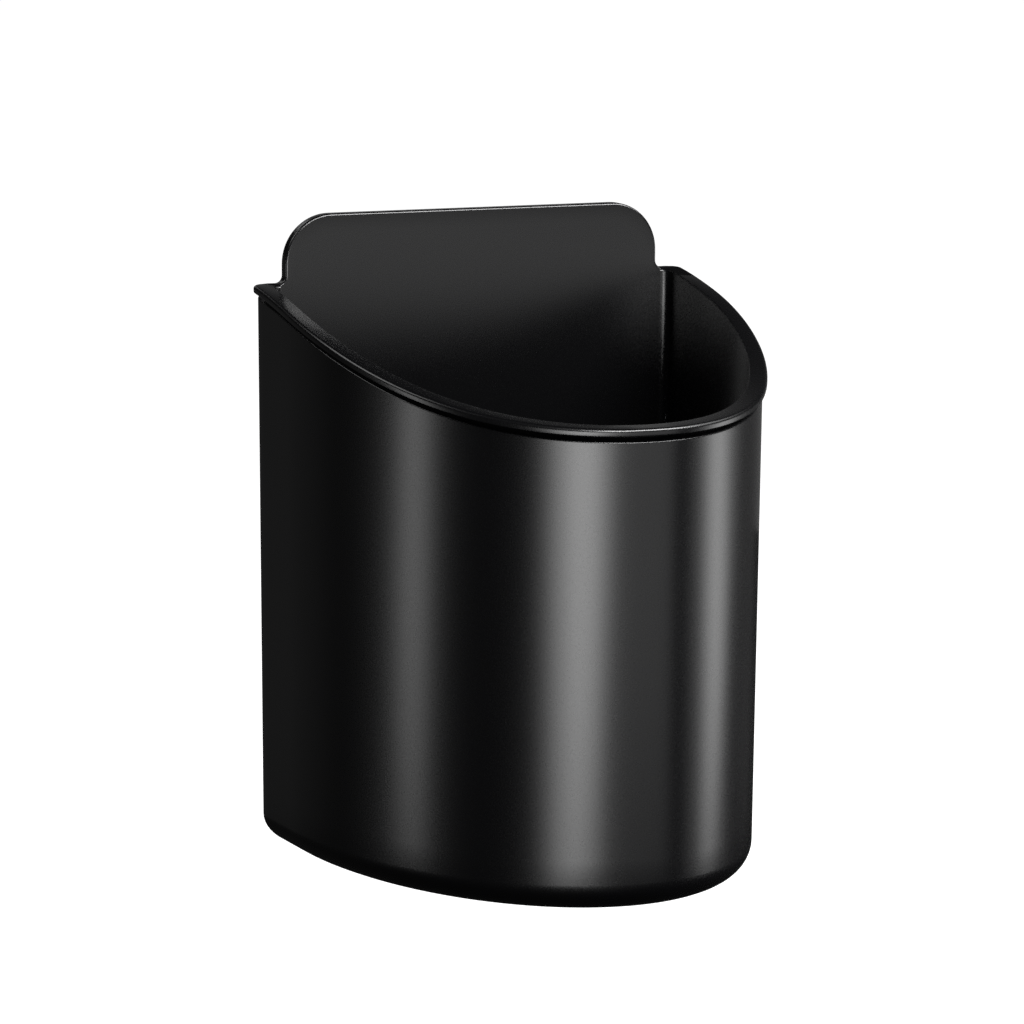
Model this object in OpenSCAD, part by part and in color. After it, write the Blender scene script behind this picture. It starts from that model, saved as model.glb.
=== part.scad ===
// Desk clamp cup holder: a D-shaped moulded cup body with a slanted rim and a raised back,
// screwed to a bent steel C-bracket that clamps on a desk's edge with a hand-turned spindle.
//
// Frame: +Z up, the rounded nose of the cup body faces -Y, the desk lies towards +Y.
// Origin: where the spindle's axis meets the desk's top surface, which is the underside of the upper jaw pad.
// The rest pose holds a desk of desk_t thickness.

/* [Cup body] */
// Width across the walls near the rim
body_w = 93.7; // [84:0.2:110]
// Depth from the flat back to the nose near the rim
body_depth = 88; // [76:0.5:100]
// Straight part of each flank, from the flat back forwards
flank_len = 17; // [8:0.5:24]
// Wall thickness
wall = 2.7; // [2:0.1:4]
// Floor thickness
floor_t = 3; // [2:0.1:5]
// Draft of the flanks and the nose, in degrees
draft = 0.6; // [0:0.1:1.5]
// Round between the outer wall and the underside
foot_round = 5.5; // [3:0.5:8]
// Radius of the two upright edges at the back
back_edge_r = 1.8; // [1:0.1:2.5]
// Height of the rim at the nose
rim_nose_h = 94.2; // [80:0.2:110]
// Height of the rim at the flat back
rim_back_h = 114.2; // [108:0.1:118]
// Steepness of the rim where it leaves the back, as a share of its mean slope
rim_back_ease = 0.55; // [0:0.05:1]
// Steepness of the rim at the nose, as a share of its mean slope
rim_nose_ease = 0.4; // [0:0.05:1]

/* [Rim lip] */
// How far the lip stands proud of the wall
lip_out = 0.9; // [0.4:0.1:2]
// Thickness of the lip
lip_t = 1.5; // [1:0.1:3]
// Height of the shadow groove under the lip
groove_h = 1.2; // [0.5:0.1:2]
// Depth of the shadow groove
groove_depth = 0.6; // [0.2:0.1:1]

/* [Raised back] */
// Height of the raised back above the underside
back_h = 128; // [124:0.5:140]
// Distance from each upright edge to the raised back
back_inset = 5.6; // [4:0.2:12]
// Radius of its two upper corners
back_corner_r = 10; // [5:0.5:12]
// Concave round where it leaves the rim
back_blend_r = 1.5; // [1:0.1:3]

/* [Clamp bracket] */
// Height of the desk's top surface above the underside of the cup body
desk_level = 104; // [98:0.5:106]
// Thickness of the desk that the rest pose holds
desk_t = 25; // [10:1:40]
// Width of the steel strap
strap_w = 38; // [30:1:44]
// Thickness of the strap
strap_t = 3; // [2:0.5:4]
// Inside radius of the strap's bends
bend_r = 3; // [2:0.5:5]
// Distance from the desk's edge to the spindle's axis
reach = 28; // [22:1:34]
// Length of the arms past the spindle's axis
arm_past = 19; // [16:1:24]
// Height of the throat between the two arms
throat_h = 64; // [60:1:70]

/* [Pads] */
// Thickness of the upper jaw pad
jaw_pad_t = 2; // [1.5:0.5:3]
// Thickness of the foam strip behind the desk's edge
edge_pad_t = 1.5; // [1:0.5:3]
// Thickness of the mat on the cup body's floor
mat_t = 1.5; // [1:0.5:3]

/* [Spindle and knob] */
// Outside radius of the spindle's thread
spindle_r = 4; // [3:0.5:5]
// Largest radius of the knob
knob_r = 18; // [14:0.5:20]
// Height of the knob's lobed part
knob_h = 12.5; // [10:0.5:15]
// Number of lobes on the knob
knob_lobes = 6; // [5:1:8]
// Radius of the pressure foot
foot_r = 13; // [10:0.5:15]

/* [Fasteners] */
// Distance between the cup body's screws across the strap
screw_dx = 22; // [18:1:26]
// Distance between the cup body's screws up the strap
screw_dz = 24; // [20:1:44]
// Radius of the screws' shanks
screw_r = 2; // [1.5:0.5:2.5]

/* [Hidden] */

$fn = 64;
past = 1;                                       // overrun of a cut past the faces it opens
running_gap = 0.05;                             // radial clearance of a turning fit
free_gap = 0.3;                                 // space between parts that move past each other

// Places along Y, from the desk's edge forwards to the nose
edge_y = -reach;
strap_rear_y = edge_y - edge_pad_t;
back_y = strap_rear_y - strap_t;
flank_y = back_y - flank_len;
nose_y = back_y - body_depth;
arm_end_y = arm_past;

// Heights
under_z = -desk_level;
rim_ref_z = under_z + 100;                      // height at which body_w and body_depth are true
back_top_z = under_z + back_h;
lip_low_z = under_z + rim_nose_h - 2 * (lip_t + groove_h);   // just under the lip's lowest point
upper_arm_z = jaw_pad_t;
lower_arm_z = upper_arm_z - throat_h - strap_t;
strap_mid_z = under_z + 60;                     // middle of the cup body's four screws

// Clamp screw stack at rest, from the foot's pad downwards
foot_pad_t = 2.5;
foot_t = 5;
foot_top_z = -desk_t - foot_pad_t;
foot_base_z = foot_top_z - foot_t;
foot_recess_r = 6.5;
foot_recess_h = 2.8;
foot_floor_z = foot_top_z - foot_recess_h;
pin_r = 2.5;
pin_top_z = foot_top_z - 0.5;
clip_t = 0.8;
clip_z = foot_floor_z + free_gap;
clip_r = 5;
clip_groove_r = 2;
shoulder_z = foot_base_z - 0.2;
knob_base_z = under_z + 1;
hub_r = 8;
hub_h = 3;
hub_top_z = knob_base_z + knob_h + hub_h;
spindle_end_z = knob_base_z + 3;
cap_r = 7;
cap_t = 2;
knob_pin_r = 1.5;

bush_flange_r = 9;
bush_flange_t = 3;
bush_body_r = 6.5;
bush_len = 10;
bush_top_z = lower_arm_z + strap_t + bush_flange_t;
washer_r = 5;
washer_t = 0.8;
nut_r = 3.2;

// Outline of the cup body seen from above, moved outwards by grow, with its back moved forwards by back_in.
// The nose is half an ellipse, and the flanks run straight back to two small rounds.
function body_outline(grow, back_in) =
    let (half = body_w / 2 + grow, depth = body_depth - flank_len + grow, yb = back_y - back_in,
         r = back_edge_r)
    concat([for (t = [180:3:360]) [half * cos(t), flank_y + depth * sin(t)]],
           [for (t = [0:15:90]) [half - r + r * cos(t), yb - r + r * sin(t)]],
           [for (t = [90:15:180]) [r - half + r * cos(t), yb - r + r * sin(t)]]);

// Growth of the outline at height z, from the draft
function drafted(z) = (z - rim_ref_z) * tan(draft);

// Rings [z, grow, back_in] of a drafted shell that starts at z0 with a round of radius r and ends at z1
function shell_rings(z0, z1, inset, r) =
    concat([for (a = [0:15:90]) let (z = z0 + r * (1 - cos(a)), in = r * (1 - sin(a)))
               [z, drafted(z) - inset - in, inset + in]],
           [[z1, drafted(z1) - inset, inset]]);

// Solid through a stack of rings
module ring_solid(rings) {
    outlines = [for (s = rings) [for (p = body_outline(s[1], s[2])) [p.x, p.y, s[0]]]];
    n = len(outlines[0]);
    m = len(outlines);
    sides = [for (k = [0:m - 2], i = [0:n - 1]) let (j = (i + 1) % n)
                [k * n + i, (k + 1) * n + i, (k + 1) * n + j, k * n + j]];
    polyhedron(points = [for (o = outlines) each o],
               faces = concat([[for (i = [0:n - 1]) i]], sides,
                              [[for (i = [n - 1:-1:0]) (m - 1) * n + i]]));
}

// Height of the rim at share s of the way from the back to the nose: an S-curve that is flat at both ends
function rim_z(s) = under_z + rim_back_h + (rim_nose_h - rim_back_h)
    * (rim_back_ease * s * (1 - s) * (1 - s) + s * s * (3 - 2 * s) - rim_nose_ease * s * s * (1 - s));

// Side profile between two curves that follow the rim, down by top and down by bottom, in Y and Z
module rim_band_profile(top, bottom) {
    steps = 28;
    ends = [1.1, -0.1];                         // shares of the depth just past the nose and the back
    shares = concat([ends[0]], [for (i = [steps:-1:0]) i / steps], [ends[1]]);
    upper = [for (s = shares) [back_y - s * body_depth, rim_z(min(max(s, 0), 1)) - top]];
    lower = [for (s = shares) [back_y - s * body_depth, rim_z(min(max(s, 0), 1)) - bottom]];
    polygon(concat(upper, [for (i = [len(lower) - 1:-1:0]) lower[i]]));
}

// The same band, right across the cup body
module rim_band(top, bottom) {
    translate([-body_w, 0, 0]) rotate([90, 0, 90]) linear_extrude(2 * body_w) rim_band_profile(top, bottom);
}

// Filled cup body without its hollow, cut along the rim
module body_block() {
    intersection() {
        ring_solid(shell_rings(under_z, back_top_z, 0, foot_round));
        rim_band(lip_t / 2, back_h);
    }
}

// Lip that stands proud all round but at the flat back
module rim_lip() {
    intersection() {
        ring_solid([[lip_low_z, lip_out, 0], [back_top_z, lip_out, 0]]);
        rim_band(0, lip_t);
    }
}

// Shadow groove under the lip
module lip_groove() {
    intersection() {
        rim_band(lip_t, lip_t + groove_h);
        difference() {
            ring_solid([[lip_low_z, 2, -1], [back_top_z, 2, -1]]);
            ring_solid([[lip_low_z - past, -groove_depth, 0], [back_top_z + past, -groove_depth, 0]]);
        }
    }
}

// Raised back seen from the front: a plate with round upper corners that leaves the rim in two concave blends
module raised_back_face() {
    half = body_w / 2 - back_inset;
    rim_back_z = under_z + rim_back_h;
    translate([-half, under_z + 60]) square([2 * half, back_h - 60 - back_corner_r]);
    translate([back_corner_r - half, under_z + 60]) square([2 * (half - back_corner_r), back_h - 60]);
    for (side = [-1, 1]) {
        translate([side * (half - back_corner_r), back_top_z - back_corner_r]) circle(r = back_corner_r);
        difference() {
            translate([side * (half + back_blend_r / 2) - back_blend_r / 2, rim_back_z - past])
                square([back_blend_r, back_blend_r + past]);
            translate([side * (half + back_blend_r), rim_back_z + back_blend_r]) circle(r = back_blend_r);
        }
    }
}

module raised_back() {
    translate([0, back_y, 0]) rotate([90, 0, 0]) linear_extrude(wall) raised_back_face();
}

// Places of the four screws that hold the cup body to the strap
module at_screws(y) {
    for (x = [-1, 1], z = [-1, 1])
        translate([x * screw_dx / 2, y, strap_mid_z + z * screw_dz / 2]) rotate([-90, 0, 0]) children();
}

module cup_body() {
    color("#141414") difference() {
        union() {
            body_block();
            rim_lip();
            raised_back();
        }
        ring_solid(shell_rings(under_z + floor_t, back_top_z + past, wall, 3));
        lip_groove();
        at_screws(back_y - wall - past) cylinder(r = screw_r + 0.15, h = wall + 2 * past);
    }
}

// Thin silicone mat on the floor, clear of the round at the wall
module floor_mat() {
    color("#2a2a2c") translate([0, 0, under_z + floor_t]) linear_extrude(mat_t)
        polygon(body_outline(drafted(under_z) - wall - 4, wall + 4));
}

// Rectangle with round corners, its lower left corner at the origin
module round_rect(w, h, r) {
    translate([r, 0]) square([w - 2 * r, h]);
    translate([0, r]) square([w, h - 2 * r]);
    for (x = [r, w - r], y = [r, h - r]) translate([x, y]) circle(r = r);
}

// Side profile of the strap, in Y and Z: a C open towards the desk
module strap_profile() {
    height = throat_h + 2 * strap_t;
    length = arm_end_y - back_y;
    difference() {
        translate([back_y, lower_arm_z]) round_rect(length + 20, height, bend_r + strap_t);
        translate([strap_rear_y, lower_arm_z + strap_t]) round_rect(length + 20, throat_h, bend_r);
        translate([arm_end_y, lower_arm_z - past]) square([40, height + 2 * past]);
    }
}

module clamp_bracket() {
    plan_r = 7;
    color("#1b1b1d") difference() {
        intersection() {
            translate([-strap_w / 2, 0, 0]) rotate([90, 0, 90]) linear_extrude(strap_w) strap_profile();
            translate([-strap_w / 2, back_y - 20, lower_arm_z - past])
                linear_extrude(throat_h + 2 * strap_t + 2 * past)
                    round_rect(strap_w, arm_end_y - back_y + 20, plan_r);
        }
        translate([0, 0, lower_arm_z - past]) cylinder(r = bush_body_r, h = strap_t + 2 * past);
        at_screws(back_y - past) cylinder(r = nut_r, h = strap_t + 2 * past);
    }
}

// Clinch nuts pressed into the strap, flush on both sides
module clinch_nuts() {
    color("#b9bbbd") at_screws(back_y) difference() {
        cylinder(r = nut_r, h = strap_t);
        translate([0, 0, -past]) cylinder(r = screw_r, h = strap_t + 2 * past);
    }
}

module screw_washers() {
    color("#b9bbbd") at_screws(back_y - wall - washer_t) difference() {
        cylinder(r = washer_r, h = washer_t);
        translate([0, 0, -past]) cylinder(r = screw_r + 0.15, h = washer_t + 2 * past);
    }
}

// Low pan-head screws with a cross recess, their heads inside the cup body
module body_screws() {
    head_r = 4;
    head_h = 1.8;
    recess_w = 1;
    recess_l = 4.2;
    color("#a9abad") at_screws(back_y - wall - washer_t - head_h) difference() {
        union() {
            cylinder(r1 = head_r - 0.6, r2 = head_r, h = 0.6);
            translate([0, 0, 0.6]) cylinder(r = head_r, h = head_h - 0.6);
            cylinder(r = screw_r, h = head_h + washer_t + wall + strap_t - 0.4);
        }
        for (turn = [0, 90]) rotate([0, 0, turn])
            translate([-recess_l / 2, -recess_w / 2, -past]) cube([recess_l, recess_w, past + 1.2]);
    }
}

// Rubber pad under the upper arm
module upper_jaw_pad() {
    pad_w = strap_w - 4;
    pad_y = strap_rear_y + 7;
    color("#222224") translate([-pad_w / 2, pad_y, 0]) linear_extrude(jaw_pad_t)
        round_rect(pad_w, arm_end_y - 2 - pad_y, 5);
}

// Foam strip on the strap, where the desk's edge bears
module edge_pad() {
    pad_w = strap_w - 8;
    pad_z = lower_arm_z + strap_t + 6;
    color("#2b2b2d") translate([-pad_w / 2, edge_y, pad_z]) rotate([90, 0, 0])
        linear_extrude(edge_pad_t) round_rect(pad_w, upper_arm_z - 6 - pad_z, 3);
}

// Flanged brass bush, pressed down into the lower arm
module thread_bush() {
    color("#b08d4a") difference() {
        union() {
            translate([0, 0, bush_top_z - bush_flange_t]) cylinder(r = bush_flange_r, h = bush_flange_t);
            translate([0, 0, bush_top_z - bush_len]) cylinder(r = bush_body_r, h = bush_len);
        }
        translate([0, 0, bush_top_z - bush_len - past])
            cylinder(r = spindle_r + running_gap, h = bush_len + 2 * past);
    }
}

// Spring-steel push washer that keeps the bush in the arm
module bush_washer() {
    color("#8e9092") translate([0, 0, lower_arm_z - washer_t]) difference() {
        cylinder(r = bush_flange_r, h = washer_t);
        translate([0, 0, -past]) cylinder(r = bush_body_r, h = washer_t + 2 * past);
    }
}

// Threaded spindle: a plain rod at the thread's outside radius, with a grooved pin for the foot
module spindle() {
    color("#b4b6b8") difference() {
        union() {
            translate([0, 0, spindle_end_z]) cylinder(r = spindle_r, h = shoulder_z - spindle_end_z);
            translate([0, 0, shoulder_z]) cylinder(r = pin_r, h = pin_top_z - shoulder_z);
        }
        translate([0, 0, clip_z]) difference() {
            cylinder(r = pin_r + past, h = clip_t);
            translate([0, 0, -past]) cylinder(r = clip_groove_r, h = clip_t + 2 * past);
        }
        translate([-spindle_r - past, 0, hub_top_z - hub_h / 2 - 1]) rotate([0, 90, 0])
            cylinder(r = knob_pin_r, h = 2 * (spindle_r + past));
    }
}

// Retaining clip in the pin's groove, open at one side
module foot_clip() {
    slot_w = 3;
    color("#7f8183") translate([0, 0, clip_z]) difference() {
        cylinder(r = clip_r, h = clip_t);
        translate([0, 0, -past]) cylinder(r = clip_groove_r, h = clip_t + 2 * past);
        translate([-slot_w / 2, 0, -past]) cube([slot_w, clip_r + past, clip_t + 2 * past]);
    }
}

// Steel foot that swivels on the pin
module pressure_foot() {
    edge = 1;
    color("#a4a6a8") difference() {
        union() {
            translate([0, 0, foot_base_z]) cylinder(r1 = foot_r - 3, r2 = foot_r, h = foot_t - 2);
            translate([0, 0, foot_top_z - 2]) cylinder(r = foot_r, h = 2);
        }
        translate([0, 0, foot_base_z - past]) cylinder(r = pin_r + running_gap, h = foot_t);
        translate([0, 0, foot_floor_z]) cylinder(r = foot_recess_r, h = foot_recess_h + edge);
    }
}

// Rubber disc on the foot
module foot_pad() {
    color("#222224") translate([0, 0, foot_top_z]) cylinder(r = foot_r, h = foot_pad_t);
}

// Lobed knob: a disc with scallops between its lobes, hollow for the hub and the cap
module knob() {
    scallop_r = 6.5;
    scallop_at = knob_r + 4;
    color("#18181a") difference() {
        translate([0, 0, knob_base_z]) cylinder(r = knob_r, h = knob_h);
        for (i = [0:knob_lobes - 1]) rotate([0, 0, (i + 0.5) * 360 / knob_lobes])
            translate([scallop_at, 0, knob_base_z - past]) cylinder(r = scallop_r, h = knob_h + 2 * past);
        translate([0, 0, knob_base_z + cap_t]) cylinder(r = hub_r, h = knob_h);
        translate([0, 0, knob_base_z - past]) cylinder(r = cap_r, h = cap_t + 2 * past);
    }
}

// Steel hub moulded into the knob, bored for the spindle and cross-drilled for its pin
module knob_hub() {
    color("#8e9092") difference() {
        translate([0, 0, knob_base_z + cap_t]) cylinder(r = hub_r, h = knob_h + hub_h - cap_t);
        translate([0, 0, spindle_end_z]) cylinder(r = spindle_r, h = hub_top_z - spindle_end_z + past);
        translate([-hub_r - past, 0, hub_top_z - hub_h / 2 - 1]) rotate([0, 90, 0])
            cylinder(r = knob_pin_r, h = 2 * (hub_r + past));
    }
}

// Spring pin through the hub and the spindle
module knob_pin() {
    color("#6f7173") translate([-hub_r + 0.3, 0, hub_top_z - hub_h / 2 - 1]) rotate([0, 90, 0])
        cylinder(r = knob_pin_r, h = 2 * (hub_r - 0.3));
}

// Push-in cap that closes the knob from below
module knob_cap() {
    color("#202022") translate([0, 0, knob_base_z]) cylinder(r = cap_r, h = cap_t);
}

cup_body();
floor_mat();
clamp_bracket();
upper_jaw_pad();
edge_pad();
body_screws();
screw_washers();
clinch_nuts();
thread_bush();
bush_washer();
spindle();
foot_clip();
pressure_foot();
foot_pad();
knob();
knob_hub();
knob_pin();
knob_cap();
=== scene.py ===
"""Desk clamp cup holder: a black moulded cup body on a bent steel screw clamp.

Shapes are worked out in millimetres in the CAD frame and turned to metres when a piece is made.
"""

import math

import bmesh
import bpy
from mathutils import Matrix, Vector


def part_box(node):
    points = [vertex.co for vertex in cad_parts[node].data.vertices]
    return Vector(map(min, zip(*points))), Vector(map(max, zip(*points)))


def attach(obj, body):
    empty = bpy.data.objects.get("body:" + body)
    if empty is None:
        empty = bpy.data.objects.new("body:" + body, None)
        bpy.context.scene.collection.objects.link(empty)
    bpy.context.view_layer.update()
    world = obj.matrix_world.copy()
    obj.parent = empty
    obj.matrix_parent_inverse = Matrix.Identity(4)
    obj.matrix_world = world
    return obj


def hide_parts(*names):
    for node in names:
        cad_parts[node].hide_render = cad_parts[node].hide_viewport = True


bl_info = {
    "name": "Desk clamp cup holder",
    "version": (1, 0, 0),
    "blender": (4, 5, 0),
    "location": "View3D > Sidebar > Cup Holder",
    "description": "Builds the visual pieces of a cup holder that clamps on a desk",
    "category": "Object",
}

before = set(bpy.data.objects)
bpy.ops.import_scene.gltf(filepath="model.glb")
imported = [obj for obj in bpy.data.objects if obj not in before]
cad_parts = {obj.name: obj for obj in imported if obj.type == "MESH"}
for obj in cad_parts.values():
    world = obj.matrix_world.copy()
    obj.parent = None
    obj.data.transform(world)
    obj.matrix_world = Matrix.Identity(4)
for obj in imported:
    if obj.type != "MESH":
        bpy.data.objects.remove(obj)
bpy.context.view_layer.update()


MM = 0.001


def node_mm(name):
    """Lowest and highest corners of a CAD node, in millimetres."""
    low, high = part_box(name)
    return Vector(low) / MM, Vector(high) / MM


def linear(hex_colour):
    """An sRGB hex colour as linear red, green, blue and alpha."""
    channels = [int(hex_colour[i:i + 2], 16) / 255 for i in (1, 3, 5)]
    return tuple(c / 12.92 if c <= 0.04045 else ((c + 0.055) / 1.055) ** 2.4 for c in channels) + (1.0,)


# Places that the pieces share, from the CAD nodes
BODY_LOW, BODY_HIGH = node_mm("cup_body")
STRAP_LOW, STRAP_HIGH = node_mm("clamp_bracket")
KNOB_LOW, KNOB_HIGH = node_mm("knob")
FOOT_LOW, FOOT_HIGH = node_mm("pressure_foot")
SPINDLE_LOW, SPINDLE_HIGH = node_mm("spindle")
UNDER_Z = BODY_LOW.z
BACK_Y = BODY_HIGH.y
BACK_TOP_Z = BODY_HIGH.z
SCREWS = [(x, z) for x in (-11, 11) for z in (-56, -32)]
BUSH_BODY_R = 6.5
NUT_R = 3.2
BODY_HOLE_R = 2.15         # holes in the cup body, which clear an M4 screw
WASHER_BORE_R = 2.15
SCREW_R = 2
SCREW_CORE_R = 1.66
SCREW_PITCH = 0.7
SPINDLE_R = 4
PIN_R = 2.5                # pin that the foot swivels on


# ---------------------------------------------------------------- sizes and colours

def size_property(name, description, default, low, high):
    """A length in millimetres that the user may change."""
    return bpy.props.FloatProperty(
        name=name, description=description, default=default, min=low, max=high, precision=2)


def colour_property(name, description, hex_colour):
    """A colour that the user may change."""
    return bpy.props.FloatVectorProperty(
        name=name, description=description, default=linear(hex_colour), size=4, subtype="COLOR",
        min=0, max=1)


class CupHolderSizes(bpy.types.PropertyGroup):
    """Sizes in millimetres of details that the CAD model leaves plain."""

    lip_edge: size_property("Lip edge round", "Round on the lip's outer edge, in mm", 0.65, 0.1, 0.8)
    inner_edge: size_property("Inner edge round", "Round on the rim's inner edge, in mm", 0.3, 0.1, 0.8)
    back_edge: size_property("Back edge round", "Round on the edge of the raised back, in mm", 0.5, 0.2, 1.2)
    strap_edge: size_property("Strap edge round", "Round on the strap's long edges, in mm", 0.6, 0.2, 1.4)
    thread_pitch: size_property("Thread pitch", "Pitch of the spindle's thread, in mm", 1.25, 0.5, 2)
    thread_depth: size_property("Thread depth", "Depth of the spindle's thread, in mm", 0.68, 0.2, 0.9)
    pad_groove: size_property("Pad groove", "Depth of the grooves in the rubber pads, in mm", 0.5, 0.1, 1)
    knob_round: size_property("Knob round", "Round on the knob's upper edge, in mm", 2.6, 0.5, 4)
    mat_rib: size_property("Mat rib", "Height of the ribs on the floor mat, in mm", 0.6, 0.1, 0.9)


class CupHolderColours(bpy.types.PropertyGroup):
    """Colours of the finishes."""

    abs_black: colour_property("Cup body", "Moulded ABS of the cup body", "#030304")
    silicone: colour_property("Floor mat", "Silicone of the floor mat", "#2B2B2D")
    powder: colour_property("Bracket", "Powder coat on the steel strap", "#17171A")
    rubber: colour_property("Pads", "Rubber of the jaw pad and the foot pad", "#222224")
    foam: colour_property("Edge strip", "Foam behind the desk's edge", "#3A3B3D")
    zinc: colour_property("Zinc plate", "Zinc-plated screws, washers and nuts", "#C6C9CC")
    brass: colour_property("Brass", "Turned brass bush", "#CFA65A")
    spring: colour_property("Spring steel", "Push washer, clip and pin", "#8C8E91")
    steel: colour_property("Turned steel", "Pressure foot and knob hub", "#B4B6B9")
    nylon: colour_property("Knob", "Moulded nylon of the knob and its cap", "#151517")


def sizes():
    return bpy.context.scene.cup_holder_sizes


def colours():
    return bpy.context.scene.cup_holder_colours


# ---------------------------------------------------------------- mesh tools

def rounded(corners, steps=5):
    """Closed outline through corners (x, y, radius), each turned into an arc of its radius."""
    outline = []
    count = len(corners)
    for i, (x, y, radius) in enumerate(corners):
        corner = Vector((x, y))
        back = (Vector(corners[i - 1][:2]) - corner).normalized()
        ahead = (Vector(corners[(i + 1) % count][:2]) - corner).normalized()
        opening = back.angle(ahead)
        if radius <= 0 or opening > 3.1:
            outline.append((x, y))
            continue
        centre = corner + (back + ahead).normalized() * radius / math.sin(opening / 2)
        start = corner + back * radius / math.tan(opening / 2) - centre
        end = corner + ahead * radius / math.tan(opening / 2) - centre
        first = math.atan2(start.y, start.x)
        turn = (math.atan2(end.y, end.x) - first + math.pi) % (2 * math.pi) - math.pi
        for k in range(steps + 1):
            angle = first + turn * k / steps
            outline.append((centre.x + radius * math.cos(angle), centre.y + radius * math.sin(angle)))
    return outline


def skin(bm, loops, round_too=True):
    """Quads through loops of points. round_too joins the last loop to the first."""
    rows = [[bm.verts.new(p) for p in loop] for loop in loops]
    pairs = list(zip(rows, rows[1:]))
    if round_too:
        pairs.append((rows[-1], rows[0]))
    for low, high in pairs:
        for i in range(len(low)):
            j = (i + 1) % len(low)
            bm.faces.new((low[i], low[j], high[j], high[i]))
    return rows


def capped(bm, loops):
    """Closed solid through loops of points, with a flat face at each end."""
    rows = skin(bm, loops, round_too=False)
    bm.faces.new(rows[0][::-1])
    bm.faces.new(rows[-1])


def lathe(bm, profile, steps=96, centre=(0, 0)):
    """Turned solid: a closed profile of (radius, z) taken round an upright axis."""
    loops = []
    for k in range(steps):
        angle = 2 * math.pi * k / steps
        c, s = math.cos(angle), math.sin(angle)
        loops.append([(centre[0] + r * c, centre[1] + r * s, z) for r, z in profile])
    skin(bm, loops)


def drill(radius, low, high):
    """Profile of a plain cylinder, to cut with."""
    return [(0, low), (radius, low), (radius, high), (0, high)]


def along_screws(bm, profile, start_y, steps):
    """A turned shape at each of the four screws, its axis along Y and its height 0 at start_y."""
    for x, z in SCREWS:
        lathe(bm, profile, steps, (x, 0))
        for v in [v for v in bm.verts if not v.tag]:
            v.co = Vector((v.co.x, start_y + v.co.z, z + v.co.y))
            v.tag = True


def plate(bm, outline, low, high, edge, steps=4):
    """Flat plate: an outline of (x, y) between two heights, with its two edges rounded."""
    loops = []
    for z, side in ((low, 1), (high, -1)):
        turns = range(steps + 1) if side > 0 else range(steps, -1, -1)
        for k in turns:
            angle = math.pi / 2 * k / steps
            loops.append((edge * (1 - math.sin(angle)), z + side * edge * (1 - math.cos(angle))))
    capped(bm, [[(x, y, z) for x, y in inset(outline, gap)] for gap, z in loops])


def inset(outline, gap):
    """A closed counter-clockwise outline moved inwards by gap."""
    moved = []
    count = len(outline)
    for i, point in enumerate(outline):
        before = Vector(outline[i - 1])
        after = Vector(outline[(i + 1) % count])
        along = (after - before).normalized()
        moved.append((point[0] - along.y * gap, point[1] + along.x * gap))
    return moved


def round_rectangle(x0, y0, x1, y1, radius, steps=8):
    """Counter-clockwise rectangle with round corners."""
    return rounded([(x0, y0, radius), (x1, y0, radius), (x1, y1, radius), (x0, y1, radius)], steps)


def shade(bm, sharp):
    """Smooth shading, but for edges sharper than the angle in degrees."""
    for face in bm.faces:
        face.smooth = True
    for edge in bm.edges:
        edge.smooth = len(edge.link_faces) == 2 and edge.calc_face_angle(0) < math.radians(sharp)


def mesh_object(name, bm, sharp=38, turn=None):
    """Object made from a bmesh in millimetres, shaded smooth but at edges sharper than the angle."""
    bmesh.ops.remove_doubles(bm, verts=bm.verts, dist=1e-4)
    bmesh.ops.dissolve_degenerate(bm, dist=1e-5, edges=bm.edges)
    bare = [e for e in bm.edges if not e.link_faces]
    bmesh.ops.delete(bm, geom=bare, context="EDGES")
    loose = [v for v in bm.verts if not v.link_faces]
    bmesh.ops.delete(bm, geom=loose, context="VERTS")
    if turn is not None:
        bm.transform(turn)
    bm.transform(Matrix.Scale(MM, 4))
    bmesh.ops.recalc_face_normals(bm, faces=bm.faces)
    shade(bm, sharp)
    mesh = bpy.data.meshes.new(name)
    bm.to_mesh(mesh)
    bm.free()
    obj = bpy.data.objects.new(name, mesh)
    bpy.context.scene.collection.objects.link(obj)
    return obj


def turned(name, profile, sharp=32, steps=96, lay=None):
    """Object turned from a profile of (radius, z)."""
    bm = bmesh.new()
    lathe(bm, profile, steps)
    return mesh_object(name, bm, sharp, lay)


def cut(obj, cutter, sharp=38):
    """Takes the cutter out of the object, and removes the cutter."""
    modifier = obj.modifiers.new("cut", "BOOLEAN")
    modifier.operation = "DIFFERENCE"
    modifier.solver = "EXACT"
    modifier.object = cutter
    bpy.context.view_layer.update()
    seen = obj.evaluated_get(bpy.context.evaluated_depsgraph_get())
    whole = bpy.data.meshes.new_from_object(seen)
    obj.modifiers.clear()
    obj.data = whole
    bpy.data.objects.remove(cutter)
    bm = bmesh.new()
    bm.from_mesh(whole)
    shade(bm, sharp)
    bm.to_mesh(whole)
    bm.free()


def place(obj, body, slot, maker, *nodes):
    """Gives the piece its finish in one material slot and its body, and hides the CAD nodes that it stands
    for. slot is not used.
    """
    if not obj.data.polygons:
        raise RuntimeError(obj.name + " came out empty")
    obj.data.materials.clear()
    obj.data.materials.append(finish(maker))
    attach(obj, body)
    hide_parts(*nodes)


# ---------------------------------------------------------------- finishes

def add_node(tree, kind, inputs=None, **settings):
    """Adds a node. inputs maps a socket to its value, or to the output that feeds it."""
    node = tree.nodes.new(kind)
    for name, value in settings.items():
        setattr(node, name, value)
    for name, value in (inputs or {}).items():
        if isinstance(value, bpy.types.NodeSocket):
            tree.links.new(value, node.inputs[name])
        else:
            node.inputs[name].default_value = value
    return node


NOISE = "ShaderNodeTexNoise"
CELLS = "ShaderNodeTexVoronoi"
WAVES = "ShaderNodeTexWave"


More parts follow.
